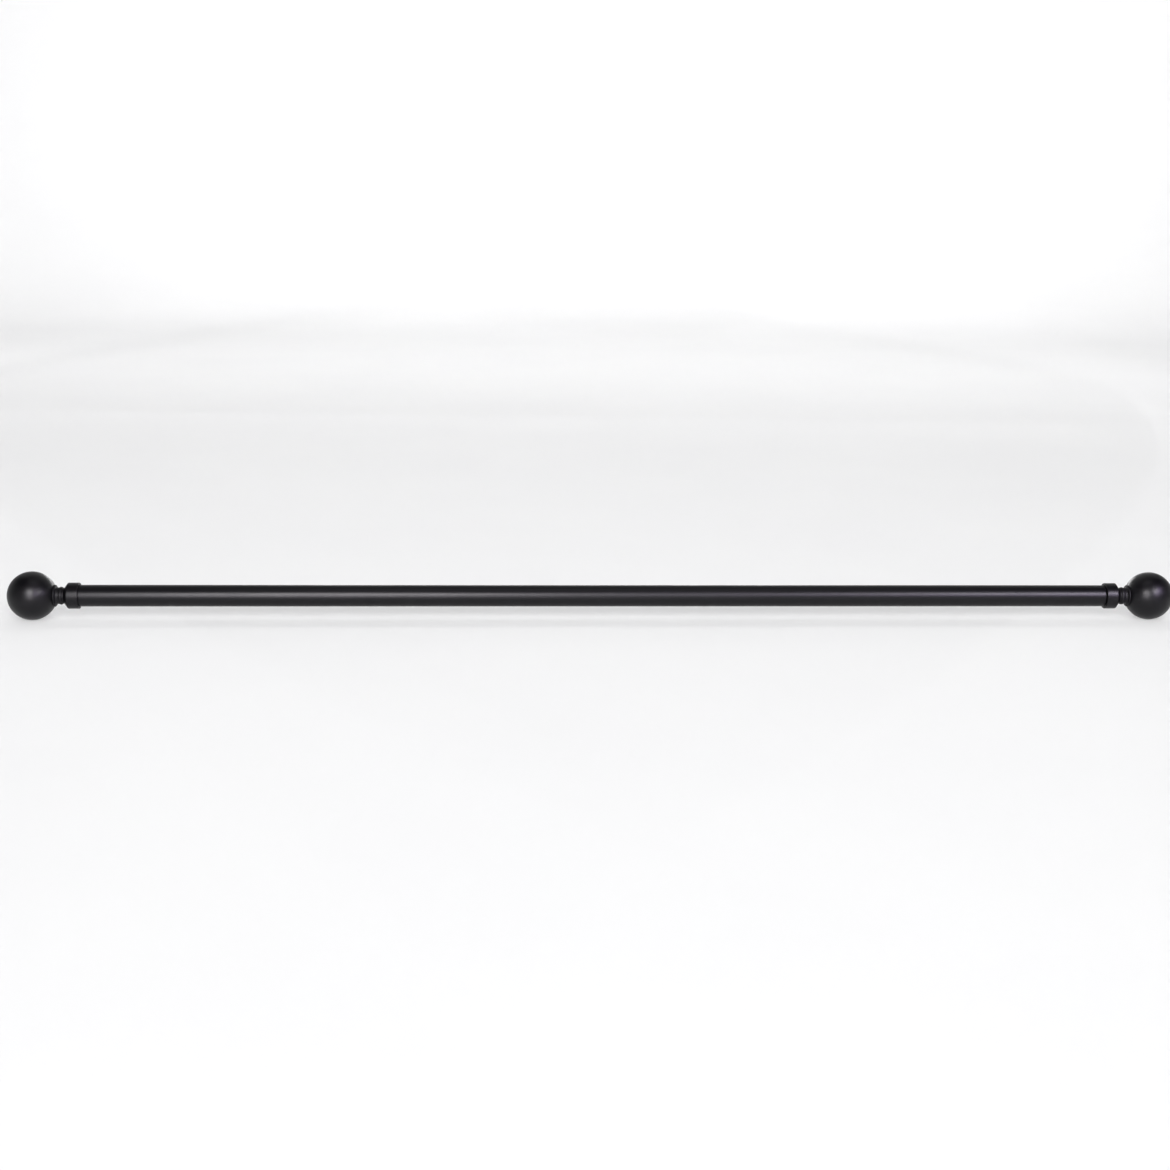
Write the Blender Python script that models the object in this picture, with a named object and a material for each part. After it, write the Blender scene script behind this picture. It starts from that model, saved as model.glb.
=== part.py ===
"""Adjustable curtain rod: two telescoping steel tubes with a screw-on ball finial at each end.

The rod lies along X with its axis through the origin, and +Z is up. Lengths are in metres.
The wide tube carries the finial at -X. The narrow tube slides out of it towards +X, and
carries the other finial. A finial is a collar, a turned neck and a hollow ball. Its stud
screws into a nut that a plastic plug holds in the tube's end, and a thin lock nut on the stud
clamps the neck to the ball and keeps the collar on the finial.

A finial's own lengths are measured outward from the mouth of its collar.
"""

import math

import bmesh
import bpy

# Tubes
VISIBLE_TUBE = 1.2212  # from the -X collar's mouth to the wide tube's open end, about 48 in
WIDE_RADIUS = 0.0127  # 1 in outside diameter
NARROW_RADIUS = 0.0111  # 7/8 in outside diameter
TUBE_WALL = 0.0006
NARROW_LENGTH = 1.07
OPEN_END_GAP = 0.0012  # between the wide tube's open end and the +X collar
COAT = 0.0001  # paint, which stops short of the end that goes into the -X collar
COAT_TO_MOUTH = 0.0004

# Finial, outside
COLLAR_RADIUS = 0.0153
COLLAR_SHOULDER = 0.0129  # where the collar's cylinder ends
COLLAR_CORNER = 0.0008  # radius of the shoulder's corner
COLLAR_LENGTH = 0.0174
COLLAR_END_RADIUS = 0.0093
MOUTH_EDGE = 0.0005  # rounding of the mouth's outer edge
GROOVE_RADIUS = 0.0090
BEAD_AT, BEAD_RADIUS, BEAD_HALF = 0.0213, 0.0104, 0.0021
BEAD_FOOT = 0.0092  # radius where the bead's curve starts, a step above the groove
WAIST_RADIUS, WAIST_START, WAIST_END = 0.0096, 0.0236, 0.0254
RING_AT, RING_RADIUS, RING_HALF = 0.0283, 0.0129, 0.0011
BALL_RADIUS = 0.0285
BALL_AT = 0.0550
BALL_FOOT = 0.0295  # flat on the ball where the neck's ring meets it

# Finial, inside
COLLAR_BORE = 0.0130
COLLAR_DEPTH = 0.0119
TUBE_IN_COLLAR = 0.0106
BALL_WALL = 0.0012
BALL_HOLE = 0.0065
SPIGOT_RADIUS = 0.0062
STUD_RADIUS = 0.0040  # M8
STUD_HOLE = 0.0043
STUD_START = -0.0020
STUD_END = 0.0390
STUD_CHAMFER = 0.0008
INSERT_FLANGE = (0.0090, 0.0015)  # radius, thickness
INSERT_END = 0.0390
NUT_ACROSS_FLATS = 0.0130
NUT_LENGTH = 0.0100
NUT_START = -0.0022
LOCK_NUT_LENGTH = 0.0038
LOCK_NUT_POCKET = 0.0082  # radius of the collar's inner pocket
COLLAR_FLOOR = 0.0160  # inner face of the collar's end wall

# Plastic pieces
PLUG_LENGTH = 0.0160
PLUG_FLANGE = 0.0008
PLUG_RIBS = 4
RIB_HEIGHT = 0.0004
BUSH_LENGTH = 0.0250
BUSH_INNER = 0.0113
BUSH_OUTER = 0.01195
REDUCER_OUTER = 0.01285
REDUCER_START = 0.0006

FIT = 0.00015  # clearance round what slides or is pressed in
GAP = 0.0003  # clearance between faces that meet
OVERCUT = 0.001  # how far a cutting shape stands out of what it cuts

# Finishes: colour, roughness, metallic
BLACK_POWDER_COAT = ((0.012, 0.012, 0.013), 0.38, 0.0)
ZINC_PLATED_STEEL = ((0.60, 0.60, 0.57), 0.35, 1.0)
BLACK_NYLON = ((0.02, 0.02, 0.021), 0.5, 0.0)

# Fineness of the faceted shapes
TUBE_SEGMENTS = 48
FINIAL_SEGMENTS = 32
SMALL_SEGMENTS = 16
SMOOTH_ANGLE = math.radians(35)

# Lengths that follow from the others
FINIAL_LENGTH = BALL_AT + BALL_RADIUS
HALF_LENGTH = FINIAL_LENGTH + (VISIBLE_TUBE + OPEN_END_GAP) / 2
MOUTH = HALF_LENGTH - FINIAL_LENGTH  # each collar's mouth lies this far from the origin
OPEN_END = MOUTH - OPEN_END_GAP


def clear_scene():
    for thing in list(bpy.data.objects):
        bpy.data.objects.remove(thing, do_unlink=True)


def finish_of(name, colour, roughness, metallic):
    material = bpy.data.materials.new(name)
    material.use_nodes = True
    shader = material.node_tree.nodes["Principled BSDF"]
    shader.inputs["Base Color"].default_value = (*colour, 1)
    shader.inputs["Roughness"].default_value = roughness
    shader.inputs["Metallic"].default_value = metallic
    material.diffuse_color = (*colour, 1)
    return material


def axis_empty(name, x=0.0, parent=None):
    """An empty on the rod's axis, which carries the pieces that move together."""
    empty = bpy.data.objects.new(name, None)
    bpy.context.scene.collection.objects.link(empty)
    empty.parent = parent
    empty.location.x = x - (parent.matrix_world.translation.x if parent else 0)
    bpy.context.view_layer.update()
    return empty


def piece(name, shape, material, parent):
    """Turns a bmesh into an object whose faces point out."""
    bmesh.ops.remove_doubles(shape, verts=shape.verts, dist=1e-6)
    bmesh.ops.recalc_face_normals(shape, faces=shape.faces)
    mesh = bpy.data.meshes.new(name)
    shape.to_mesh(mesh)
    shape.free()
    mesh.materials.append(material)
    mesh.shade_smooth()
    mesh.set_sharp_from_angle(angle=SMOOTH_ANGLE)
    obj = bpy.data.objects.new(name, mesh)
    bpy.context.scene.collection.objects.link(obj)
    obj.parent = parent
    return obj


def arc(centre, radii, start, end, steps):
    """Points (along, radius) on an ellipse's arc, with angles in degrees from the axis."""
    points = []
    for step in range(steps + 1):
        angle = math.radians(start + (end - start) * step / steps)
        along = centre[0] + radii[0] * math.cos(angle)
        radius = centre[1] + radii[1] * math.sin(angle)
        points.append((along, max(radius, 0.0)))
    return points


def turned(profile, side=1, segments=FINIAL_SEGMENTS, closed=True, flat_below=False):
    """Spins a profile of (along, radius) points about X. A closed profile makes a ring."""
    lean = math.pi / segments if flat_below else 0.0
    shape = bmesh.new()
    points = []
    for along, radius in profile:
        place = (side * along, radius * math.sin(lean), radius * math.cos(lean))
        points.append(shape.verts.new(place))
    follows = points[1:] + points[:1] if closed else points[1:]
    edges = [shape.edges.new(pair) for pair in zip(points, follows)]
    bmesh.ops.spin(
        shape,
        geom=points + edges,
        cent=(0, 0, 0),
        axis=(1, 0, 0),
        angle=math.tau,
        steps=segments,
        use_merge=True,
    )
    return shape


def sleeve(start, end, inner, outer, **how):
    """A plain ring between two lengths along the axis."""
    profile = [(start, inner), (start, outer), (end, outer), (end, inner)]
    return turned(profile, **how)


def hex_prism(start, end, across_flats, side=1):
    shape = bmesh.new()
    corner = across_flats / math.sqrt(3)
    rings = []
    for along in (start, end):
        ring = []
        for step in range(6):
            angle = math.tau * step / 6
            place = (side * along, corner * math.sin(angle), corner * math.cos(angle))
            ring.append(shape.verts.new(place))
        rings.append([shape.edges.new(pair) for pair in zip(ring, ring[1:] + ring[:1])])
    bmesh.ops.bridge_loops(shape, edges=rings[0] + rings[1])
    bmesh.ops.holes_fill(shape, edges=shape.edges[:], sides=6)
    return shape


def cut(obj, name, shape):
    """Cuts a shape out of an object with a Boolean modifier."""
    cutter = piece(name, shape, obj.data.materials[0], obj.parent)
    cutter.hide_render = True
    cutter.display_type = "WIRE"
    boolean = obj.modifiers.new(name, "BOOLEAN")
    boolean.operation = "DIFFERENCE"
    boolean.object = cutter


def make_tubes(root, slide, coat):
    start = -MOUTH - TUBE_IN_COLLAR
    coat_start = -MOUTH + COAT_TO_MOUTH
    bore = WIDE_RADIUS - TUBE_WALL
    bare = WIDE_RADIUS - COAT
    profile = [(start, bore), (start, bare), (coat_start, bare), (coat_start, WIDE_RADIUS)]
    profile += [(OPEN_END, WIDE_RADIUS), (OPEN_END, bore)]
    wide = turned(profile, segments=TUBE_SEGMENTS, flat_below=True)
    piece("outer_tube", wide, coat, root)
    end = MOUTH + TUBE_IN_COLLAR
    narrow = sleeve(
        end - NARROW_LENGTH,
        end,
        NARROW_RADIUS - TUBE_WALL,
        NARROW_RADIUS,
        segments=TUBE_SEGMENTS,
        flat_below=True,
    )
    piece("inner_tube", narrow, coat, slide)


def make_bushes(root, slide, plastic):
    """The plastic sleeves that keep the tubes from rattling: one stays, the other slides."""
    mouth = OPEN_END - GAP
    tail = MOUTH + TUBE_IN_COLLAR - NARROW_LENGTH
    shared = {"segments": TUBE_SEGMENTS, "flat_below": True}
    fixed = sleeve(mouth - BUSH_LENGTH, mouth, BUSH_INNER, BUSH_OUTER, **shared)
    piece("outer_tube_mouth_bush", fixed, plastic, root)
    moving = sleeve(tail, tail + BUSH_LENGTH, BUSH_INNER, BUSH_OUTER, **shared)
    piece("inner_tube_guide_bush", moving, plastic, slide)


def make_collar(name, side, coat, parent):
    rounding = arc(
        (MOUTH_EDGE, COLLAR_RADIUS - MOUTH_EDGE), (MOUTH_EDGE, MOUTH_EDGE), 180, 90, 3
    )
    corner_centre = (COLLAR_SHOULDER, COLLAR_RADIUS - COLLAR_CORNER)
    corner = arc(corner_centre, (COLLAR_CORNER, COLLAR_CORNER), 90, 33, 2)
    profile = [(0.0, COLLAR_BORE), *rounding, *corner]
    profile += [(COLLAR_LENGTH, COLLAR_END_RADIUS), (COLLAR_LENGTH, STUD_HOLE)]
    profile += [(COLLAR_FLOOR, STUD_HOLE), (COLLAR_FLOOR, LOCK_NUT_POCKET)]
    profile += [(COLLAR_DEPTH, LOCK_NUT_POCKET), (COLLAR_DEPTH, COLLAR_BORE)]
    piece(name, turned(profile, side), coat, parent)


def make_neck(name, side, coat, parent):
    bead = arc((BEAD_AT, BEAD_FOOT), (BEAD_HALF, BEAD_RADIUS - BEAD_FOOT), 180, 0, 6)
    flare_height = RING_RADIUS - RING_HALF - WAIST_RADIUS
    flare_length = RING_AT - RING_HALF - WAIST_END
    flare = arc(
        (WAIST_END, WAIST_RADIUS + flare_height), (flare_length, flare_height), 270, 360, 3
    )
    ring = arc((RING_AT, RING_RADIUS - RING_HALF), (RING_HALF, RING_HALF), 180, 0, 6)
    ring_face = BALL_FOOT - GAP
    start = COLLAR_LENGTH + GAP
    profile = [(start, STUD_HOLE), (start, GROOVE_RADIUS), (BEAD_AT - BEAD_HALF, GROOVE_RADIUS)]
    profile += [*bead, (WAIST_START, WAIST_RADIUS), *flare[:-1], *ring[:-2]]
    profile += [(ring_face, RING_RADIUS - RING_HALF), (ring_face, SPIGOT_RADIUS)]
    profile += [(BALL_FOOT + BALL_WALL, SPIGOT_RADIUS), (BALL_FOOT + BALL_WALL, STUD_HOLE)]
    piece(name, turned(profile, side), coat, parent)


def make_ball(name, side, coat, parent):
    """A hollow ball with a flat foot. Its hole lets the neck's spigot and the stud in."""
    inner_radius = BALL_RADIUS - BALL_WALL
    inner_foot = BALL_FOOT + BALL_WALL
    outer_angle = math.degrees(math.acos((BALL_FOOT - BALL_AT) / BALL_RADIUS))
    inner_angle = math.degrees(math.acos((inner_foot - BALL_AT) / inner_radius))
    centre = (BALL_AT, 0.0)
    far_half = arc(centre, (BALL_RADIUS, BALL_RADIUS), 0, 90, 8)
    near_half = arc(centre, (BALL_RADIUS, BALL_RADIUS), 90, outer_angle, 6)
    foot = [(BALL_FOOT, BALL_HOLE), (inner_foot, BALL_HOLE)]
    inner = arc(centre, (inner_radius, inner_radius), inner_angle, 0, 10)
    profile = [*far_half, *near_half[1:], *foot, *inner]
    piece(name, turned(profile, side, closed=False), coat, parent)


def make_stud(name, side, steel, parent):
    tip = STUD_RADIUS - STUD_CHAMFER
    profile = [(STUD_START, 0.0), (STUD_START, tip), (STUD_START + STUD_CHAMFER, STUD_RADIUS)]
    profile += [(STUD_END - STUD_CHAMFER, STUD_RADIUS), (STUD_END, tip), (STUD_END, 0.0)]
    piece(name, turned(profile, side, SMALL_SEGMENTS, closed=False), steel, parent)


def make_insert(name, side, steel, parent):
    """The flanged bush inside the ball that the stud is fixed in."""
    start = BALL_FOOT + BALL_WALL + GAP
    flange_radius, flange_thickness = INSERT_FLANGE
    body = NUT_ACROSS_FLATS / 2
    profile = [(start, STUD_HOLE), (start, flange_radius)]
    profile += [(start + flange_thickness, flange_radius), (start + flange_thickness, body)]
    profile += [(INSERT_END, body), (INSERT_END, STUD_HOLE)]
    piece(name, turned(profile, side, SMALL_SEGMENTS), steel, parent)


def make_plug(name, side, tube_radius, plastic, parent):
    """A ribbed plug in the tube's end, with a flange over its rim and a pocket for the nut."""
    rib_radius = tube_radius - TUBE_WALL - FIT
    body = rib_radius - RIB_HEIGHT
    face = TUBE_IN_COLLAR + GAP
    tail = face - PLUG_LENGTH
    pitch = (PLUG_LENGTH - PLUG_FLANGE) / (PLUG_RIBS + 1)
    profile = [(tail, STUD_HOLE), (tail, body)]
    for rib in range(1, PLUG_RIBS + 1):
        at = tail + rib * pitch
        profile += [(at - pitch / 3, body), (at, rib_radius), (at, body)]
    profile += [(face, body), (face, tube_radius - FIT)]
    profile += [(face + PLUG_FLANGE, tube_radius - FIT), (face + PLUG_FLANGE, STUD_HOLE)]
    plug = piece(name, turned(profile, side, SMALL_SEGMENTS), plastic, parent)
    pocket_start = tail - OVERCUT
    pocket_end = NUT_START + NUT_LENGTH + GAP
    pocket = hex_prism(pocket_start, pocket_end, NUT_ACROSS_FLATS + 2 * FIT, side)
    cut(plug, name + "_pocket", pocket)


def make_nut(name, side, start, length, steel, parent):
    nut = piece(name, hex_prism(start, start + length, NUT_ACROSS_FLATS, side), steel, parent)
    drill_start = start - OVERCUT
    drill_end = start + length + OVERCUT
    drill = [(drill_start, 0.0), (drill_start, STUD_HOLE)]
    drill += [(drill_end, STUD_HOLE), (drill_end, 0.0)]
    cut(nut, name + "_hole", turned(drill, side, SMALL_SEGMENTS, closed=False))


def make_reducer(side, plastic, parent):
    """The sleeve that brings the narrow tube's end up to the collar's bore."""
    inner = NARROW_RADIUS + FIT
    shape = sleeve(REDUCER_START, TUBE_IN_COLLAR, inner, REDUCER_OUTER, side=side)
    piece("right_collar_reducer", shape, plastic, parent)


def make_finial(which, side, tube_radius, tube_frame, finishes):
    """The collar slides on the tube's end, and the rest turns in it on the stud's thread."""
    coat, steel, plastic = finishes
    end = axis_empty(which + "_end_frame", side * MOUTH, tube_frame)
    travel = axis_empty(which + "_collar_travel", side * MOUTH, tube_frame)
    turn = axis_empty(which + "_finial_turn", side * MOUTH, travel)
    make_plug(which + "_end_plug", side, tube_radius, plastic, end)
    make_nut(which + "_plug_nut", side, NUT_START, NUT_LENGTH, steel, end)
    make_collar(which + "_collar", side, coat, travel)
    make_neck(which + "_neck", side, coat, turn)
    make_ball(which + "_ball", side, coat, turn)
    make_stud(which + "_stud", side, steel, turn)
    make_insert(which + "_ball_insert", side, steel, turn)
    lock_start = COLLAR_FLOOR - GAP - LOCK_NUT_LENGTH
    make_nut(which + "_lock_nut", side, lock_start, LOCK_NUT_LENGTH, steel, turn)
    return end


def main():
    clear_scene()
    coat = finish_of("black_powder_coat", *BLACK_POWDER_COAT)
    steel = finish_of("zinc_plated_steel", *ZINC_PLATED_STEEL)
    plastic = finish_of("black_nylon", *BLACK_NYLON)
    root = axis_empty("outer_tube_frame")
    slide = axis_empty("inner_tube_slide")
    make_tubes(root, slide, coat)
    make_bushes(root, slide, plastic)
    finishes = (coat, steel, plastic)
    make_finial("left", -1, WIDE_RADIUS, root, finishes)
    right_end = make_finial("right", 1, NARROW_RADIUS, slide, finishes)
    make_reducer(1, plastic, right_end)


main()
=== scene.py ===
"""Looks for the adjustable curtain rod: two telescoping tubes with a screw-on ball finial at each end.

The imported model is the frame. Every CAD piece is replaced by a finer one in the same place, turned
about the rod's axis (X), with rolled edges, threads, chamfers and moulded ribs. A finial's lengths
are measured outward from the mouth of its collar. Lengths are in metres.
"""

import math

import bmesh
import bpy
from mathutils import Matrix, Vector


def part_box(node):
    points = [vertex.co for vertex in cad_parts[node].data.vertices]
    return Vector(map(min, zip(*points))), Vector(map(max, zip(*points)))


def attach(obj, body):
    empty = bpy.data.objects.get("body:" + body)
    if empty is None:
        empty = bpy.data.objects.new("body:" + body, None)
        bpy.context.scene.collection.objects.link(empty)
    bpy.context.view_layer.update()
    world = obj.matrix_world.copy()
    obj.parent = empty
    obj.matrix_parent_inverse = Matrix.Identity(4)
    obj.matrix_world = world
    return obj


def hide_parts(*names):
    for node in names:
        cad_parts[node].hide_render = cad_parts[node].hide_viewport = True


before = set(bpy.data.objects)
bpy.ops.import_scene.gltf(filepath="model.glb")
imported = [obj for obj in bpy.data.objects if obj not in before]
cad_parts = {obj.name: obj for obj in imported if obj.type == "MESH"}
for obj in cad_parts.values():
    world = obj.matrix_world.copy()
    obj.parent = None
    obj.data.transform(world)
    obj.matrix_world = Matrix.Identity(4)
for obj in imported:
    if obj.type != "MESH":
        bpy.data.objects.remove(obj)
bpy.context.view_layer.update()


def radii_of(node):
    """The smallest and largest distance of a CAD node from the rod's axis."""
    reach = [math.hypot(v.co.y, v.co.z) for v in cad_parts[node].data.vertices]
    return min(reach), max(reach)


def span_of(node):
    """Where a CAD node starts and ends along the rod."""
    low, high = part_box(node)
    return low.x, high.x


# Sizes from the frame
SIDES = {"left": -1, "right": 1}
MOUTHS = {"left": span_of("left_collar")[1], "right": span_of("right_collar")[0]}
WIDE_BORE, WIDE_RADIUS = radii_of("outer_tube")
NARROW_BORE, NARROW_RADIUS = radii_of("inner_tube")
COLLAR_RADIUS = radii_of("left_collar")[1]
COLLAR_LENGTH = span_of("right_collar")[1] - MOUTHS["right"]
RING_RADIUS = radii_of("left_neck")[1]
BALL_RADIUS = radii_of("left_ball")[1]
BALL_AT = span_of("right_ball")[1] - BALL_RADIUS - MOUTHS["right"]
BALL_FOOT = span_of("right_ball")[0] - MOUTHS["right"]
STUD_START, STUD_END = (x - MOUTHS["right"] for x in span_of("right_stud"))
STUD_RADIUS = radii_of("left_stud")[1]
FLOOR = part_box("left_ball")[0].z

# The turned shapes of a finial
COLLAR_BORE = 0.0130
COLLAR_DEPTH = 0.0119
COLLAR_SHOULDER = 0.0129
COLLAR_CORNER = 0.0008
COLLAR_END_RADIUS = 0.0093
COLLAR_FLOOR = 0.0160
LOCK_NUT_POCKET = 0.0082
GROOVE_RADIUS = 0.0090
BEAD_AT, BEAD_RADIUS, BEAD_HALF = 0.0213, 0.0104, 0.0021
WAIST_RADIUS, WAIST_START, WAIST_END = 0.0096, 0.0236, 0.0254
RING_AT, RING_HALF = 0.0283, 0.0011
BALL_WALL = 0.0012
BALL_HOLE = 0.0065
SPIGOT_RADIUS = 0.0062
STUD_HOLE = 0.0043
THREAD_PITCH = 0.00125
THREAD_DEPTH = 0.0006
COAT = 0.0001
COAT_TO_MOUTH = 0.0004
GAP = 0.0003
FIT = 0.00015

# Hardware and plastic parts
INSERT_FLANGE = 0.0015
INSERT_BODY = 0.0065
PLUG_FLANGE = 0.0008
PLUG_RIBS = 4
RIB_HEIGHT = 0.0004
POCKET_FLATS = 0.0133
POCKET_END = 0.0081
BUSH_RINGS = 4
REDUCER_RINGS = 2
RELIEF_WIDTH = 0.0008
RELIEF_DEPTH = 0.0002

# Rounding of edges
ROLLED = 0.0005
OPEN_END_ROLL = 0.00045
SOFT = 0.0002
CRISP = 0.0001

# Fineness of the meshes
TUBE_SEGMENTS = 144
FINIAL_SEGMENTS = 128
SMALL_SEGMENTS = 48
ARC_STEP = math.radians(12)
ROUNDING_SHARE = 0.45  # the most of a straight run that one corner's rounding takes
NUT_SEGMENTS = 96
BALL_RINGS = 56
THREAD_ROWS = 8  # rings of the stud's mesh in one turn of its thread
EDGE_BAND = 0.0010  # how far an edge's wear reaches along a straight run
SMOOTH_ANGLE = math.radians(32)

# The tubes' lengthwise weld, on the back
SEAM_ANGLE = math.tau * 40 / TUBE_SEGMENTS
SEAM_HALF_WIDTH = 0.0012
SEAM_BEAD = 0.00012
SEAM_HAIRLINE = 0.00002

# A nut's chamfer: the cone's radius at the face, in halves of the width across flats, and its slope
CHAMFER_START = 0.97
CHAMFER_SLOPE = 1.9
CHAMFER_ROWS = 3

# Thread form: how steeply its flank rises, in thread depths for each pitch, and how wide its root is
FLANK_RISE = 2.6
ROOT_WIDTH = 0.25

# Powder coat. A noise's first number is its lumps in a metre, here and in the next two materials
COAT_DARK = (0.0016, 0.0013, 0.0026)
COAT_LIGHT = (0.0030, 0.0025, 0.0042)
COAT_EDGE = (0.006, 0.0056, 0.007)
COAT_ROUGHNESS = 0.38
NECK_ROUGHNESS = 0.55  # the powder lies thicker and duller in the neck's grooves
COAT_SPECULAR = 0.5
EDGE_POLISH = 0.02  # how much smoother a worn edge is
EDGE_BREAKS = 420
COAT_PATCHES, PATCH_HAZE = 11, 0.02
COAT_RUBS, RUB_HAZE, RUB_STRETCH = 45, 0.012, (0.15, 1, 1)
ORANGE_PEEL, PEEL_STRENGTH, PEEL_DEPTH = 650, 0.12, 0.00004
COAT_GRAIN, GRAIN_STRENGTH, GRAIN_DEPTH = 2600, 0.15, 0.00001

# Zinc plate
ZINC_YELLOW = (0.50, 0.50, 0.46)
ZINC_BLUE = (0.58, 0.60, 0.62)
ZINC_SMOOTH, ZINC_ROUGH, ZINC_HAZE = 0.24, 0.40, 0.1
ZINC_MOTTLE = 500
LATHE_RINGS, RING_STRETCH = 900, (1, 0.03, 0.03)
LATHE_STRENGTH, LATHE_DEPTH = 0.3, 0.00001

# Nylon
NYLON_DARK = (0.014, 0.014, 0.015)
NYLON_LIGHT = (0.024, 0.024, 0.026)
NYLON_SMOOTH, NYLON_ROUGH = 0.42, 0.60
FLOW_MARKS, FLOW_STRETCH = 90, (0.3, 1, 1)
SPARK_TEXTURE, SPARK_STRENGTH, SPARK_DEPTH = 1800, 0.3, 0.00002

# The round sweep under and behind the rod
SWEEP_FLAT = 4.0
SWEEP_CURVE = 2.5
SWEEP_HEIGHT = 5.0
SWEEP_STEPS = 40
SWEEP_SEGMENTS = 192
PAPER_DARK = (0.745, 0.745, 0.750)
PAPER_LIGHT = (0.755, 0.755, 0.758)
PAPER_ROUGHNESS = 0.9
PAPER_SPECULAR = 0.1
PAPER_CLOUDS = 3  # lumps in a metre

# Light
WHITE = (1.0, 1.0, 1.0)
PINK = (1.0, 0.96, 0.98)
ROSE = (1.0, 0.93, 1.0)
ICE = (0.90, 0.98, 1.0)
VIOLET = (0.80, 0.67, 1.0)
NEAR, FAR = 2.2, 4.4  # the front lights' distances from the rod
CEILING = 2.8
WORLD_STRENGTH = 0.01
DISPLAY_GAMMA = 0.83

# Camera, fitted to the photograph's perspective
SENSOR_WIDTH = 36.0  # millimetres, as the lens
LENS = 53.138
CAMERA_ELEVATION = math.radians(14.0)
CAMERA_DISTANCE = 2.055
CAMERA_ASIDE = -0.125
CAMERA_YAW = math.radians(3.08)
CAMERA_DROP = math.radians(13.625)
CAMERA_ROLL = math.radians(0.75)


# ---- Profiles ----


def arc(centre, radii, start, end, steps=None):
    """Plain (along, radius) corners on an ellipse's arc, with angles in degrees from the axis."""
    steps = steps or max(3, round(abs(math.radians(end - start)) / ARC_STEP))
    points = []
    for step in range(steps + 1):
        angle = math.radians(start + (end - start) * step / steps)
        along = centre[0] + radii[0] * math.cos(angle)
        radius = centre[1] + radii[1] * math.sin(angle)
        points.append((along, max(radius, 0.0)))
    return points


def corner_arc(before, at, after, rounding):
    """Points that replace a corner by an arc of about that radius."""
    back = before - at
    ahead = after - at
    half = back.angle(ahead) / 2
    shorter = min(back.length, ahead.length)
    reach = min(rounding / math.tan(half), ROUNDING_SHARE * shorter)
    radius = reach * math.tan(half)
    middle = (back.normalized() + ahead.normalized()).normalized() * (radius / math.sin(half))
    start = back.normalized() * reach - middle
    turn = math.pi - 2 * half
    steps = max(2, math.ceil(turn / ARC_STEP))
    sign = 1 if start.x * (ahead.y - back.y) - start.y * (ahead.x - back.x) > 0 else -1
    points = []
    for step in range(steps + 1):
        angle = sign * turn * step / steps
        spun = Matrix.Rotation(angle, 2) @ start
        points.append(at + middle + spun)
    return points


def rounded(corners, closed=True):
    """Turns corners of (along, radius[, rounding]) into (along, radius, edge) points.

    edge is 1 where the corner stands out, which is where a coating wears. Extra points near the
    ends of a straight run keep that from spreading along it.
    """
    places = [Vector(corner[:2]) for corner in corners]
    count = len(corners)
    area = sum(a.x * b.y - a.y * b.x for a, b in zip(places, places[1:] + places[:1]))
    points = []
    for i, corner in enumerate(corners):
        rounding = corner[2] if len(corner) > 2 else 0.0
        inside_ends = closed or 0 < i < count - 1
        if not rounding or not inside_ends:
            points.append((*places[i], 0.0))
            continue
        before, at, after = places[i - 1], places[i], places[(i + 1) % count]
        bend = (at - before).cross(after - at)
        outer = 1.0 if bend * area > 0 else 0.0
        points += [(*place, outer) for place in corner_arc(before, at, after, rounding)]
    return supported(points, closed)


def supported(points, closed):
    """Adds a point near each end of a long straight run."""
    follows = points[1:] + points[:1] if closed else points[1:]
    made = []
    for here, there in zip(points, follows):
        made.append(here)
        start, end = Vector(here[:2]), Vector(there[:2])
        length = (end - start).length
        if length > 3 * EDGE_BAND:
            step = (end - start) * (EDGE_BAND / length)
            made += [(*(start + step), 0.0), (*(end - step), 0.0)]
    return made if closed else [*made, points[-1]]


# ---- Meshes ----


def turned(name, points, side=1, origin=0.0, segments=FINIAL_SEGMENTS, shape=None, closed=True):
    """Spins (along, radius, edge) points about X. shape(along, radius, angle) may alter a radius."""
    mesh = bpy.data.meshes.new(name)
    build = bmesh.new()
    edge_layer = build.verts.layers.float.new("edge")
    rings = []
    for along, radius, edge in points:
        ring = []
        for step in range(segments if radius > 0 else 1):
            angle = math.tau * step / segments
            reach = shape(along, radius, angle) if shape else radius
            place = (origin + side * along, reach * math.sin(angle), reach * math.cos(angle))
            vert = build.verts.new(place)
            vert[edge_layer] = edge
            ring.append(vert)
        rings.append(ring)
    follows = rings[1:] + rings[:1] if closed else rings[1:]
    for here, there in zip(rings, follows):
        join(build, here, there)
    bmesh.ops.recalc_face_normals(build, faces=build.faces)
    build.to_mesh(mesh)
    build.free()
    mesh.shade_smooth()
    mesh.set_sharp_from_angle(angle=SMOOTH_ANGLE)
    obj = bpy.data.objects.new(name, mesh)
    bpy.context.scene.collection.objects.link(obj)
    return obj


def join(build, here, there):
    """Faces between two rings, either of which may be a single point on the axis."""
    count = max(len(here), len(there))
    for step in range(count):
        after = (step + 1) % count
        if len(here) == 1:
            build.faces.new((here[0], there[step], there[after]))
        elif len(there) == 1:
            build.faces.new((here[step], there[0], here[after]))
        else:
            build.faces.new((here[step], there[step], there[after], here[after]))


def place_piece(obj, node, body, material):
    """Puts a finished piece on its body, in place of its CAD node."""
    obj.data.materials.append(material)
    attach(obj, body)
    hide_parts(node)
    return obj


def weld_seam(bore, outer):
    """The tube's lengthwise weld: a hairline on the back, and a low bead inside."""

    def shape(along, radius, angle):
        off = abs(math.remainder(angle - SEAM_ANGLE, math.tau)) * radius
        if radius < (bore + outer) / 2:
            return radius - SEAM_BEAD * max(0.0, 1 - off / SEAM_HALF_WIDTH)
        return radius - SEAM_HAIRLINE if off < SEAM_HALF_WIDTH / 4 else radius

    return shape


def hexagon(flats, angle):
    """Distance from the axis to a hexagon's side, across flats of that size."""
    third = math.tau / 6
    return flats / 2 / math.cos((angle + third / 2) % third - third / 2)


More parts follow.
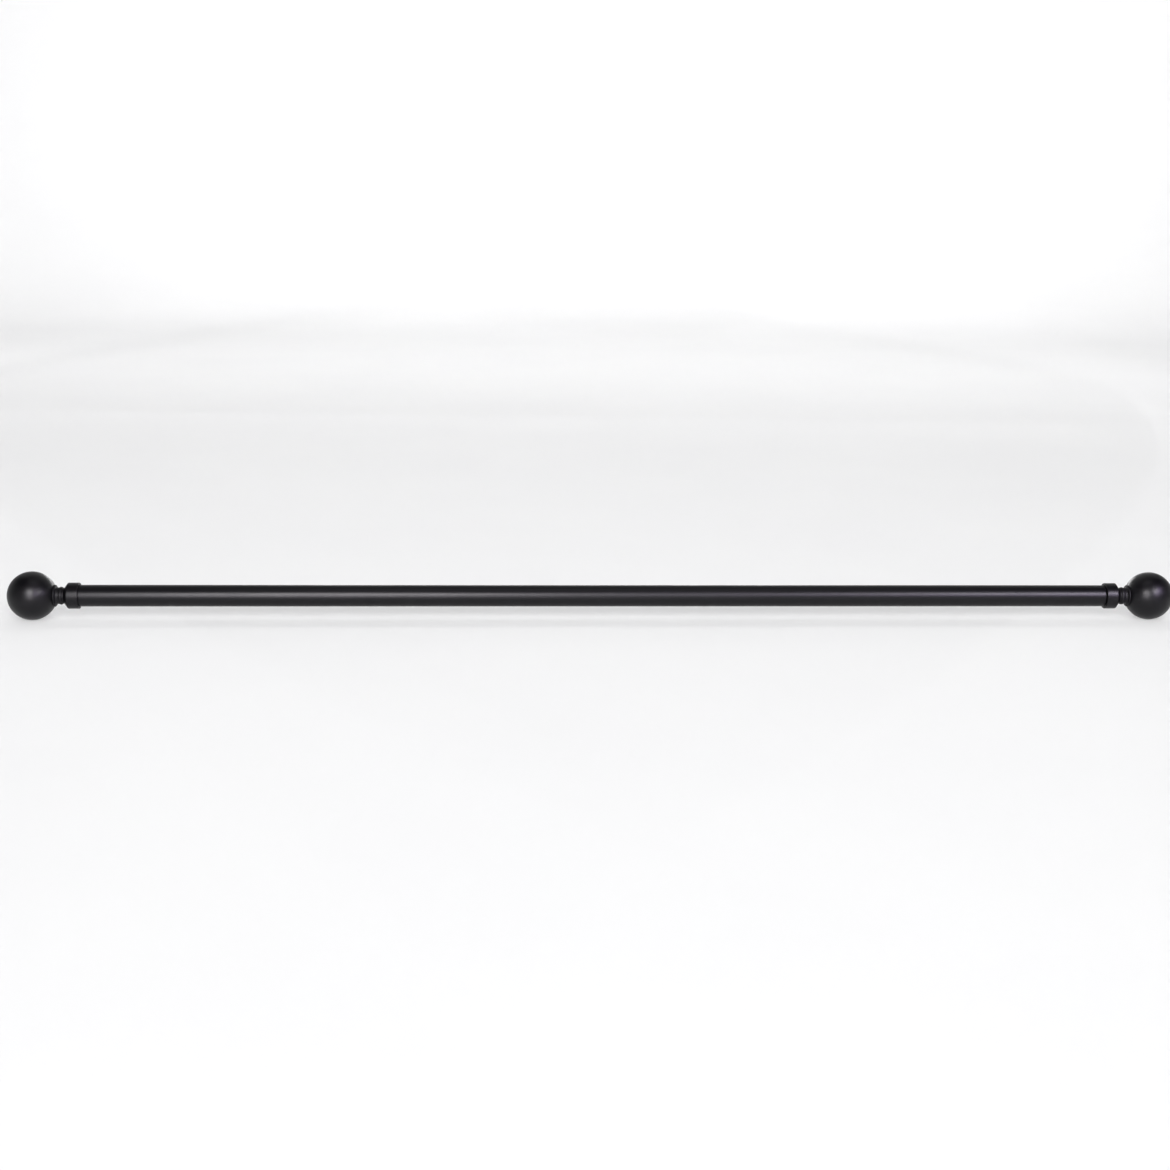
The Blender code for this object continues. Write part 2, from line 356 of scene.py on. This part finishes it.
def make_tubes(coat):
    start, end = span_of("outer_tube")
    coat_start = MOUTHS["left"] + COAT_TO_MOUTH
    bare = WIDE_RADIUS - COAT
    corners = [(start, WIDE_BORE, CRISP), (start, bare, SOFT), (coat_start, bare)]
    corners += [(coat_start + COAT, WIDE_RADIUS, CRISP), (end, WIDE_RADIUS, OPEN_END_ROLL)]
    corners += [(end, WIDE_BORE, CRISP)]
    seam = weld_seam(WIDE_BORE, WIDE_RADIUS)
    tube = turned("wide_tube", rounded(corners), segments=TUBE_SEGMENTS, shape=seam)
    place_piece(tube, "outer_tube", "outer", coat)
    start, end = span_of("inner_tube")
    corners = [(start, NARROW_BORE, CRISP), (start, NARROW_RADIUS, SOFT)]
    corners += [(end, NARROW_RADIUS, SOFT), (end, NARROW_BORE, CRISP)]
    seam = weld_seam(NARROW_BORE, NARROW_RADIUS)
    tube = turned("narrow_tube", rounded(corners), segments=TUBE_SEGMENTS, shape=seam)
    place_piece(tube, "inner_tube", "inner", coat)


def make_sleeve(name, node, body, nylon, rings):
    """A plastic sleeve with chamfered ends and shallow relief rings round its outside."""
    start, end = span_of(node)
    inner, outer = radii_of(node)
    low = outer - RELIEF_DEPTH
    corners = [(start, inner, SOFT), (start, outer, SOFT)]
    for ring in range(1, rings + 1):
        at = start + (end - start) * ring / (rings + 1)
        corners += [(at - RELIEF_WIDTH, outer, CRISP), (at - RELIEF_WIDTH / 2, low, CRISP)]
        corners += [(at + RELIEF_WIDTH / 2, low, CRISP), (at + RELIEF_WIDTH, outer, CRISP)]
    corners += [(end, outer, SOFT), (end, inner, SOFT)]
    sleeve = turned(name, rounded(corners), segments=TUBE_SEGMENTS)
    place_piece(sleeve, node, body, nylon)


def make_collar(which, coat):
    shoulder = (COLLAR_SHOULDER, COLLAR_RADIUS, COLLAR_CORNER)
    corners = [(0.0, COLLAR_BORE, SOFT), (0.0, COLLAR_RADIUS, ROLLED), shoulder]
    corners += [(COLLAR_LENGTH, COLLAR_END_RADIUS, SOFT), (COLLAR_LENGTH, STUD_HOLE, CRISP)]
    corners += [(COLLAR_FLOOR, STUD_HOLE, CRISP), (COLLAR_FLOOR, LOCK_NUT_POCKET, SOFT)]
    corners += [(COLLAR_DEPTH, LOCK_NUT_POCKET, CRISP), (COLLAR_DEPTH, COLLAR_BORE, SOFT)]
    collar = turned(which + "_collar_cap", rounded(corners), SIDES[which], MOUTHS[which])
    place_piece(collar, which + "_collar", which + "_cap", coat)


def make_neck(which, coat):
    foot = GROOVE_RADIUS + SOFT
    bead = arc((BEAD_AT, foot), (BEAD_HALF, BEAD_RADIUS - foot), 180, 0)
    rise = RING_RADIUS - RING_HALF - WAIST_RADIUS
    run = RING_AT - RING_HALF - WAIST_END
    flare = arc((WAIST_END, WAIST_RADIUS + rise), (run, rise), 270, 360)
    ring = arc((RING_AT, RING_RADIUS - RING_HALF), (RING_HALF, RING_HALF), 180, 20)
    face = BALL_FOOT - GAP
    start = COLLAR_LENGTH + GAP
    tip = BALL_FOOT + BALL_WALL
    corners = [(start, STUD_HOLE, CRISP), (start, GROOVE_RADIUS, SOFT)]
    corners += [(BEAD_AT - BEAD_HALF, GROOVE_RADIUS), *bead]
    corners += [(WAIST_START, WAIST_RADIUS, SOFT), *flare[:-1], *ring]
    corners += [(face, RING_RADIUS - RING_HALF), (face, SPIGOT_RADIUS, CRISP)]
    corners += [(tip, SPIGOT_RADIUS, SOFT), (tip, STUD_HOLE, CRISP)]
    neck = turned(which + "_turned_neck", rounded(corners), SIDES[which], MOUTHS[which])
    place_piece(neck, which + "_neck", which + "_finial", coat)


def make_ball(which, coat):
    """The hollow ball, with a rounded rim round the flat foot that the neck stands on."""
    inner_radius = BALL_RADIUS - BALL_WALL
    inner_foot = BALL_FOOT + BALL_WALL
    centre = (BALL_AT, 0.0)
    outer_angle = math.degrees(math.acos((BALL_FOOT - BALL_AT) / BALL_RADIUS))
    inner_angle = math.degrees(math.acos((inner_foot - BALL_AT) / inner_radius))
    outer = arc(centre, (BALL_RADIUS, BALL_RADIUS), 0, outer_angle, BALL_RINGS)
    inner = arc(centre, (inner_radius, inner_radius), inner_angle, 0, BALL_RINGS // 2)
    outer[-1] = (*outer[-1], SOFT)
    foot = [(BALL_FOOT, BALL_HOLE, CRISP), (inner_foot, BALL_HOLE, CRISP)]
    points = rounded([*outer, *foot, *inner], closed=False)
    ball = turned(which + "_ball_shell", points, SIDES[which], MOUTHS[which], closed=False)
    place_piece(ball, which + "_ball", which + "_finial", coat)


def make_stud(which, steel):
    """Threaded rod: the radius follows a helix, and both tips are chamfered."""

    def thread(along, radius, angle):
        turn = (along / THREAD_PITCH - SIDES[which] * angle / math.tau) % 1.0
        flank = min(1.0, max(0.0, FLANK_RISE * abs(turn - 0.5) - ROOT_WIDTH))
        tip = min(along - STUD_START, STUD_END - along)
        chamfer = STUD_RADIUS - THREAD_DEPTH - SOFT + tip
        return min(radius - THREAD_DEPTH * (1 - flank), chamfer)

    rows = round((STUD_END - STUD_START) / THREAD_PITCH * THREAD_ROWS)
    points = [(STUD_START, 0.0, 0.0)]
    for row in range(rows + 1):
        along = STUD_START + (STUD_END - STUD_START) * row / rows
        points.append((along, STUD_RADIUS, 0.0))
    points.append((STUD_END, 0.0, 0.0))
    stud = turned(
        which + "_threaded_stud",
        points,
        SIDES[which],
        MOUTHS[which],
        SMALL_SEGMENTS,
        thread,
        closed=False,
    )
    place_piece(stud, which + "_stud", which + "_finial", steel)


def make_nut(name, node, which, body, steel):
    """A hexagon nut with its corners chamfered and a countersunk hole."""
    side, mouth = SIDES[which], MOUTHS[which]
    start, end = sorted(side * (x - mouth) for x in span_of(node))
    across_flats = radii_of(node)[1] * math.sqrt(3)

    def shape(along, radius, angle):
        if radius < across_flats / 2 - SOFT:
            return radius
        inset = min(along - start, end - along)
        cone = across_flats / 2 * CHAMFER_START + inset * CHAMFER_SLOPE
        return min(hexagon(across_flats, angle), cone)

    outer = across_flats / 2
    depth = (across_flats / math.sqrt(3) - outer * CHAMFER_START) / CHAMFER_SLOPE
    insets = [depth * row / CHAMFER_ROWS for row in range(CHAMFER_ROWS + 1)]
    points = [(start, STUD_HOLE + SOFT, 0.0)]
    points += [(start + inset, outer, 0.0) for inset in insets]
    points += [(end - inset, outer, 0.0) for inset in reversed(insets)]
    points += [(end, STUD_HOLE + SOFT, 0.0)]
    points += [(end - SOFT, STUD_HOLE, 0.0), (start + SOFT, STUD_HOLE, 0.0)]
    nut = turned(name, points, side, mouth, NUT_SEGMENTS, shape)
    place_piece(nut, node, body, steel)


def make_insert(which, steel):
    node = which + "_ball_insert"
    side, mouth = SIDES[which], MOUTHS[which]
    start, end = sorted(side * (x - mouth) for x in span_of(node))
    flange = radii_of(node)[1]
    corners = [(start, STUD_HOLE, SOFT), (start, flange, SOFT)]
    corners += [(start + INSERT_FLANGE, flange, SOFT), (start + INSERT_FLANGE, INSERT_BODY, SOFT)]
    corners += [(end, INSERT_BODY, ROLLED), (end, STUD_HOLE, SOFT)]
    insert = turned(which + "_flanged_insert", rounded(corners), side, mouth, SMALL_SEGMENTS)
    place_piece(insert, node, which + "_finial", steel)


def make_plug(which, body, nylon):
    """A barbed plug: its ribs lean back, so that it goes into the tube and doesn't come out."""
    node = which + "_end_plug"
    side, mouth = SIDES[which], MOUTHS[which]
    tail, face = sorted(side * (x - mouth) for x in span_of(node))
    flange = radii_of(node)[1]
    bore = WIDE_BORE if which == "left" else NARROW_BORE
    rib = bore - FIT
    stem = rib - RIB_HEIGHT
    pitch = (face - PLUG_FLANGE - tail) / (PLUG_RIBS + 1)

    def pocket(along, radius, angle):
        if along > POCKET_END + CRISP or abs(radius - POCKET_FLATS / 2) > SOFT:
            return radius
        return hexagon(POCKET_FLATS, angle)

    corners = [(tail, POCKET_FLATS / 2), (tail, stem, SOFT)]
    for number in range(1, PLUG_RIBS + 1):
        at = tail + number * pitch
        corners += [(at - pitch / 3, stem), (at, rib, CRISP), (at, stem)]
    corners += [(face - PLUG_FLANGE, stem), (face - PLUG_FLANGE, flange, CRISP)]
    corners += [(face, flange, SOFT), (face, STUD_HOLE, CRISP)]
    corners += [(POCKET_END, STUD_HOLE), (POCKET_END, POCKET_FLATS / 2)]
    plug = turned(which + "_barbed_plug", rounded(corners), side, mouth, NUT_SEGMENTS, pocket)
    place_piece(plug, node, body, nylon)


# ---- Materials ----


def add(tree, kind, inputs=None, **settings):
    """Adds a shader node. inputs gives a value or another node's output for each socket."""
    made = tree.nodes.new(kind)
    for name, value in settings.items():
        setattr(made, name, value)
    for name, value in (inputs or {}).items():
        if isinstance(value, bpy.types.NodeSocket):
            tree.links.new(value, made.inputs[name])
        else:
            made.inputs[name].default_value = value
    return made


def new_material(name):
    material = bpy.data.materials.new(name)
    material.use_nodes = True
    tree = material.node_tree
    shader = tree.nodes["Principled BSDF"]
    place = add(tree, "ShaderNodeTexCoord").outputs["Object"]
    return material, tree, shader, place


def noise(tree, place, scale, detail=2.0, stretch=(1, 1, 1)):
    """Noise whose lumps are about 1/scale metres across, longer along an axis with less stretch."""
    mapped = add(tree, "ShaderNodeMapping", {"Vector": place, "Scale": stretch})
    inputs = {"Vector": mapped.outputs["Vector"], "Scale": scale, "Detail": detail}
    return add(tree, "ShaderNodeTexNoise", inputs).outputs["Fac"]


def spread(tree, value, low, high, start=0.3, end=0.7):
    """Maps the middle of a noise onto low to high."""
    inputs = {"Value": value, "From Min": start, "From Max": end, "To Min": low, "To Max": high}
    return add(tree, "ShaderNodeMapRange", inputs).outputs["Result"]


def combine(tree, how, first, second):
    made = add(tree, "ShaderNodeMath", operation=how)
    for socket, value in zip(made.inputs, (first, second)):
        if isinstance(value, bpy.types.NodeSocket):
            tree.links.new(value, socket)
        else:
            socket.default_value = value
    return made.outputs[0]


def two_tone(tree, share, first, second):
    """A colour between two others, the first of which may be another node's output."""
    made = add(tree, "ShaderNodeMix", data_type="RGBA")
    tree.links.new(share, made.inputs["Factor"])
    if isinstance(first, bpy.types.NodeSocket):
        tree.links.new(first, made.inputs[6])
    else:
        made.inputs[6].default_value = (*first, 1)
    made.inputs[7].default_value = (*second, 1)
    return made.outputs[2]


def relief(tree, shader, layers):
    """Stacks bumps of (height, strength, depth in metres), coarse ones first."""
    normal = None
    for height, strength, depth in layers:
        inputs = {"Height": height, "Strength": strength, "Distance": depth}
        if normal:
            inputs["Normal"] = normal
        normal = add(tree, "ShaderNodeBump", inputs).outputs["Normal"]
    tree.links.new(normal, shader.inputs["Normal"])


def powder_coat_material(name, roughness):
    """Satin black powder coat: orange peel, fine grain, hazy patches, and a polished outer edge."""
    material, tree, shader, place = new_material(name)
    patches = noise(tree, place, COAT_PATCHES, detail=4)
    peel = noise(tree, place, ORANGE_PEEL, detail=1)
    grain = noise(tree, place, COAT_GRAIN)
    rubs = noise(tree, place, COAT_RUBS, stretch=RUB_STRETCH)
    edge = add(tree, "ShaderNodeAttribute", attribute_name="edge").outputs["Fac"]
    broken = spread(tree, noise(tree, place, EDGE_BREAKS, detail=3), 0.15, 1.0)
    wear = combine(tree, "MULTIPLY", edge, broken)
    tone = spread(tree, grain, 0.0, 1.0)
    coat = two_tone(tree, tone, COAT_DARK, COAT_LIGHT)
    worn = two_tone(tree, wear, coat, COAT_EDGE)
    tree.links.new(worn, shader.inputs["Base Color"])
    rough = combine(tree, "ADD", spread(tree, patches, -PATCH_HAZE, PATCH_HAZE), roughness)
    rough = combine(tree, "ADD", rough, spread(tree, rubs, -RUB_HAZE, RUB_HAZE))
    rough = combine(tree, "SUBTRACT", rough, combine(tree, "MULTIPLY", wear, EDGE_POLISH))
    tree.links.new(rough, shader.inputs["Roughness"])
    shader.inputs["Specular IOR Level"].default_value = COAT_SPECULAR
    peel_bumps = (peel, PEEL_STRENGTH, PEEL_DEPTH)
    grain_bumps = (grain, GRAIN_STRENGTH, GRAIN_DEPTH)
    relief(tree, shader, [peel_bumps, grain_bumps])
    return material


def zinc_material():
    """Zinc plate: crystalline mottling, lathe rings round the axis, a trace of yellow and blue."""
    material, tree, shader, place = new_material("zinc_plated_steel")
    mottle = noise(tree, place, ZINC_MOTTLE, detail=4)
    rings = noise(tree, place, LATHE_RINGS, stretch=RING_STRETCH)
    tint = two_tone(tree, spread(tree, mottle, 0.0, 1.0), ZINC_YELLOW, ZINC_BLUE)
    tree.links.new(tint, shader.inputs["Base Color"])
    shader.inputs["Metallic"].default_value = 1.0
    haze = spread(tree, mottle, 0.0, ZINC_HAZE)
    rough = combine(tree, "ADD", haze, spread(tree, rings, ZINC_SMOOTH, ZINC_ROUGH))
    tree.links.new(rough, shader.inputs["Roughness"])
    relief(tree, shader, [(rings, LATHE_STRENGTH, LATHE_DEPTH)])
    return material


def nylon_material():
    """Moulded black nylon with a fine spark-eroded texture and faint flow marks."""
    material, tree, shader, place = new_material("moulded_black_nylon")
    texture = noise(tree, place, SPARK_TEXTURE)
    flow = noise(tree, place, FLOW_MARKS, detail=3, stretch=FLOW_STRETCH)
    tint = two_tone(tree, spread(tree, flow, 0.0, 1.0), NYLON_DARK, NYLON_LIGHT)
    tree.links.new(tint, shader.inputs["Base Color"])
    rough = spread(tree, texture, NYLON_SMOOTH, NYLON_ROUGH)
    tree.links.new(rough, shader.inputs["Roughness"])
    relief(tree, shader, [(texture, SPARK_STRENGTH, SPARK_DEPTH)])
    return material


def floor_material():
    """White paper, with very faint clouds."""
    material, tree, shader, place = new_material("white_paper_sweep")
    clouds = noise(tree, place, PAPER_CLOUDS, detail=3)
    tint = two_tone(tree, spread(tree, clouds, 0.0, 1.0), PAPER_DARK, PAPER_LIGHT)
    tree.links.new(tint, shader.inputs["Base Color"])
    shader.inputs["Roughness"].default_value = PAPER_ROUGHNESS
    shader.inputs["Specular IOR Level"].default_value = PAPER_SPECULAR
    return material


# ---- Stage, lights and camera ----


def make_sweep():
    """A round white sweep: a flat floor that curves up into a low wall, the same from every side."""
    profile = [(0.0, 0.0), (SWEEP_FLAT, 0.0)]
    for step in range(1, SWEEP_STEPS + 1):
        angle = math.pi / 2 * step / SWEEP_STEPS
        out = SWEEP_FLAT + SWEEP_CURVE * math.sin(angle)
        profile.append((out, SWEEP_CURVE * (1 - math.cos(angle))))
    profile.append((SWEEP_FLAT + SWEEP_CURVE, SWEEP_HEIGHT))
    build = bmesh.new()
    rings = []
    for out, up in profile:
        ring = []
        for step in range(SWEEP_SEGMENTS if out > 0 else 1):
            angle = math.tau * step / SWEEP_SEGMENTS
            ring.append(build.verts.new((out * math.cos(angle), out * math.sin(angle), FLOOR + up)))
        rings.append(ring)
    for here, there in zip(rings, rings[1:]):
        join(build, here, there)
    bmesh.ops.recalc_face_normals(build, faces=build.faces)
    mesh = bpy.data.meshes.new("sweep")
    build.to_mesh(mesh)
    build.free()
    mesh.shade_smooth()
    mesh.materials.append(floor_material())
    sweep = bpy.data.objects.new("sweep", mesh)
    bpy.context.scene.collection.objects.link(sweep)
    return sweep


def around(azimuth, elevation, distance):
    """A place as seen from the rod's middle. Azimuth 0 is the front, and positive to the right."""
    turn, lift = math.radians(azimuth), math.radians(elevation)
    level = distance * math.cos(lift)
    return level * math.sin(turn), -level * math.cos(turn), distance * math.sin(lift)


def softbox(name, receivers, place, size, power, aim=(0, 0, 0), colour=WHITE, beam=180):
    """A soft light that reaches only its receivers and that the camera doesn't see."""
    light = bpy.data.lights.new(name, "AREA")
    light.shape = "RECTANGLE"
    light.size, light.size_y = size
    light.energy = power
    light.color = colour
    light.spread = math.radians(beam)
    lamp = bpy.data.objects.new(name, light)
    lamp.location = place
    lamp.rotation_euler = (Vector(aim) - Vector(place)).to_track_quat("-Z", "Y").to_euler()
    lamp.visible_camera = False
    lamp.light_linking.receiver_collection = receivers
    bpy.context.scene.collection.objects.link(lamp)
    return light


def panel(name, receivers, back, width, depth, power, height=CEILING):
    """A softbox that hangs level over the sweep."""
    return softbox(name, receivers, (0, back, height), (width, depth), power, aim=(0, back, 0))


def make_lights(sweep):
    """One set of lights for the rod and one for the sweep, so that the floor stays evenly pale."""
    floor = bpy.data.collections.new("lit_floor")
    floor.objects.link(sweep)
    rod = bpy.data.collections.new("lit_rod")
    rod.objects.link(sweep)
    rod.collection_objects[0].light_linking.link_state = "EXCLUDE"
    light_rod(rod)
    light_floor(floor)
    world = bpy.data.worlds.new("studio")
    bpy.context.scene.world = world
    world.use_nodes = True
    background = world.node_tree.nodes["Background"]
    background.inputs["Color"].default_value = (1.0, 1.0, 1.0, 1)
    background.inputs["Strength"].default_value = WORLD_STRENGTH


def light_rod(rod):
    """Two groups of softboxes in front, left and right, and weak light from above and behind."""
    softbox("left_high", rod, around(-16, 30, NEAR), (0.75, 0.5), 28, colour=PINK)
    softbox("left_low", rod, around(-16, 9, NEAR), (0.75, 0.4), 13.2, colour=ROSE)
    softbox("left_far", rod, around(-12, 22, FAR), (1.5, 1.8), 24.6, colour=ICE)
    softbox("right_high", rod, around(36, 31, NEAR), (0.5, 0.5), 16)
    softbox("right_far", rod, around(27, 24, FAR), (1.1, 1.8), 6.6, colour=VIOLET, beam=60)
    softbox("right_near", rod, (1.35, -0.85, 0.75), (0.5, 0.5), 6.2, aim=(0.6, 0, 0), colour=VIOLET)
    softbox("back_low", rod, around(180, 8, 2.4), (1.5, 0.3), 10)
    panel("top_front", rod, -0.3, 2.0, 1.2, 7.1, height=2.6)
    panel("top_back", rod, 2.5, 6.0, 2.5, 32)


def light_floor(floor):
    """Overhead strips, two of them shadowless so that shadows stay pale, and a light for each wall."""
    panel("floor_back", floor, 2.4, 7.0, 0.9, 32)
    for number, (back, power) in enumerate(((1.9, 77), (-0.5, 66))):
        fill = panel(f"floor_fill_{number}", floor, back, 7.0, 0.9, power)
        fill.use_shadow = False
    softbox("floor_front", floor, around(0, 31, 3.6), (3.0, 1.3), 76)
    softbox("floor_far", floor, (0.2, 2.0, 3.0), (6.0, 0.8), 30, aim=(0.35, 4.2, 0), beam=100)
    for azimuth, power in ((177, 66), (0, 50), (90, 16), (-90, 16)):
        place, aim = around(azimuth, 45, 4.24), around(azimuth, 13, 6.67)
        softbox(f"wall_{azimuth}", floor, place, (6.0, 1.0), power, aim=aim, beam=120)


def make_camera():
    """The camera's own axes are built from its yaw, drop and roll, which keep the horizon tilt."""
    drop, yaw, roll = CAMERA_DROP, CAMERA_YAW, CAMERA_ROLL
    forward = Vector((math.sin(yaw) * math.cos(drop), math.cos(yaw) * math.cos(drop), -math.sin(drop)))
    level = Vector((math.cos(yaw), -math.sin(yaw), 0))
    upright = level.cross(forward)
    right = math.cos(roll) * level + math.sin(roll) * upright
    up = math.cos(roll) * upright - math.sin(roll) * level
    back = CAMERA_DISTANCE * math.cos(CAMERA_ELEVATION)
    place = Vector((CAMERA_ASIDE, -back, CAMERA_DISTANCE * math.sin(CAMERA_ELEVATION)))
    data = bpy.data.cameras.new("camera")
    data.sensor_width = SENSOR_WIDTH
    data.lens = LENS
    camera = bpy.data.objects.new("camera", data)
    turn = Matrix((right, up, -forward)).transposed().to_4x4()
    camera.matrix_world = Matrix.Translation(place) @ turn
    bpy.context.scene.collection.objects.link(camera)
    bpy.context.scene.camera = camera


def make_finial(which, tube_body, coat, dull_coat, steel, nylon):
    finial = which + "_finial"
    make_collar(which, coat)
    make_neck(which, dull_coat)
    make_ball(which, coat)
    make_stud(which, steel)
    make_insert(which, steel)
    make_nut(which + "_thin_nut", which + "_lock_nut", which, finial, steel)
    make_nut(which + "_captive_nut", which + "_plug_nut", which, tube_body, steel)
    make_plug(which, tube_body, nylon)


def main():
    make_camera()
    make_lights(make_sweep())
    bpy.context.scene.view_settings.view_transform = "Standard"
    bpy.context.scene.view_settings.gamma = DISPLAY_GAMMA
    coat = powder_coat_material("satin_black_powder_coat", COAT_ROUGHNESS)
    dull_coat = powder_coat_material("dull_black_powder_coat", NECK_ROUGHNESS)
    steel, nylon = zinc_material(), nylon_material()
    make_tubes(coat)
    make_sleeve("wide_tube_bush", "outer_tube_mouth_bush", "outer", nylon, BUSH_RINGS)
    make_sleeve("narrow_tube_bush", "inner_tube_guide_bush", "inner", nylon, BUSH_RINGS)
    make_sleeve("collar_reducer", "right_collar_reducer", "inner", nylon, REDUCER_RINGS)
    make_finial("left", "outer", coat, dull_coat, steel, nylon)
    make_finial("right", "inner", coat, dull_coat, steel, nylon)


main()
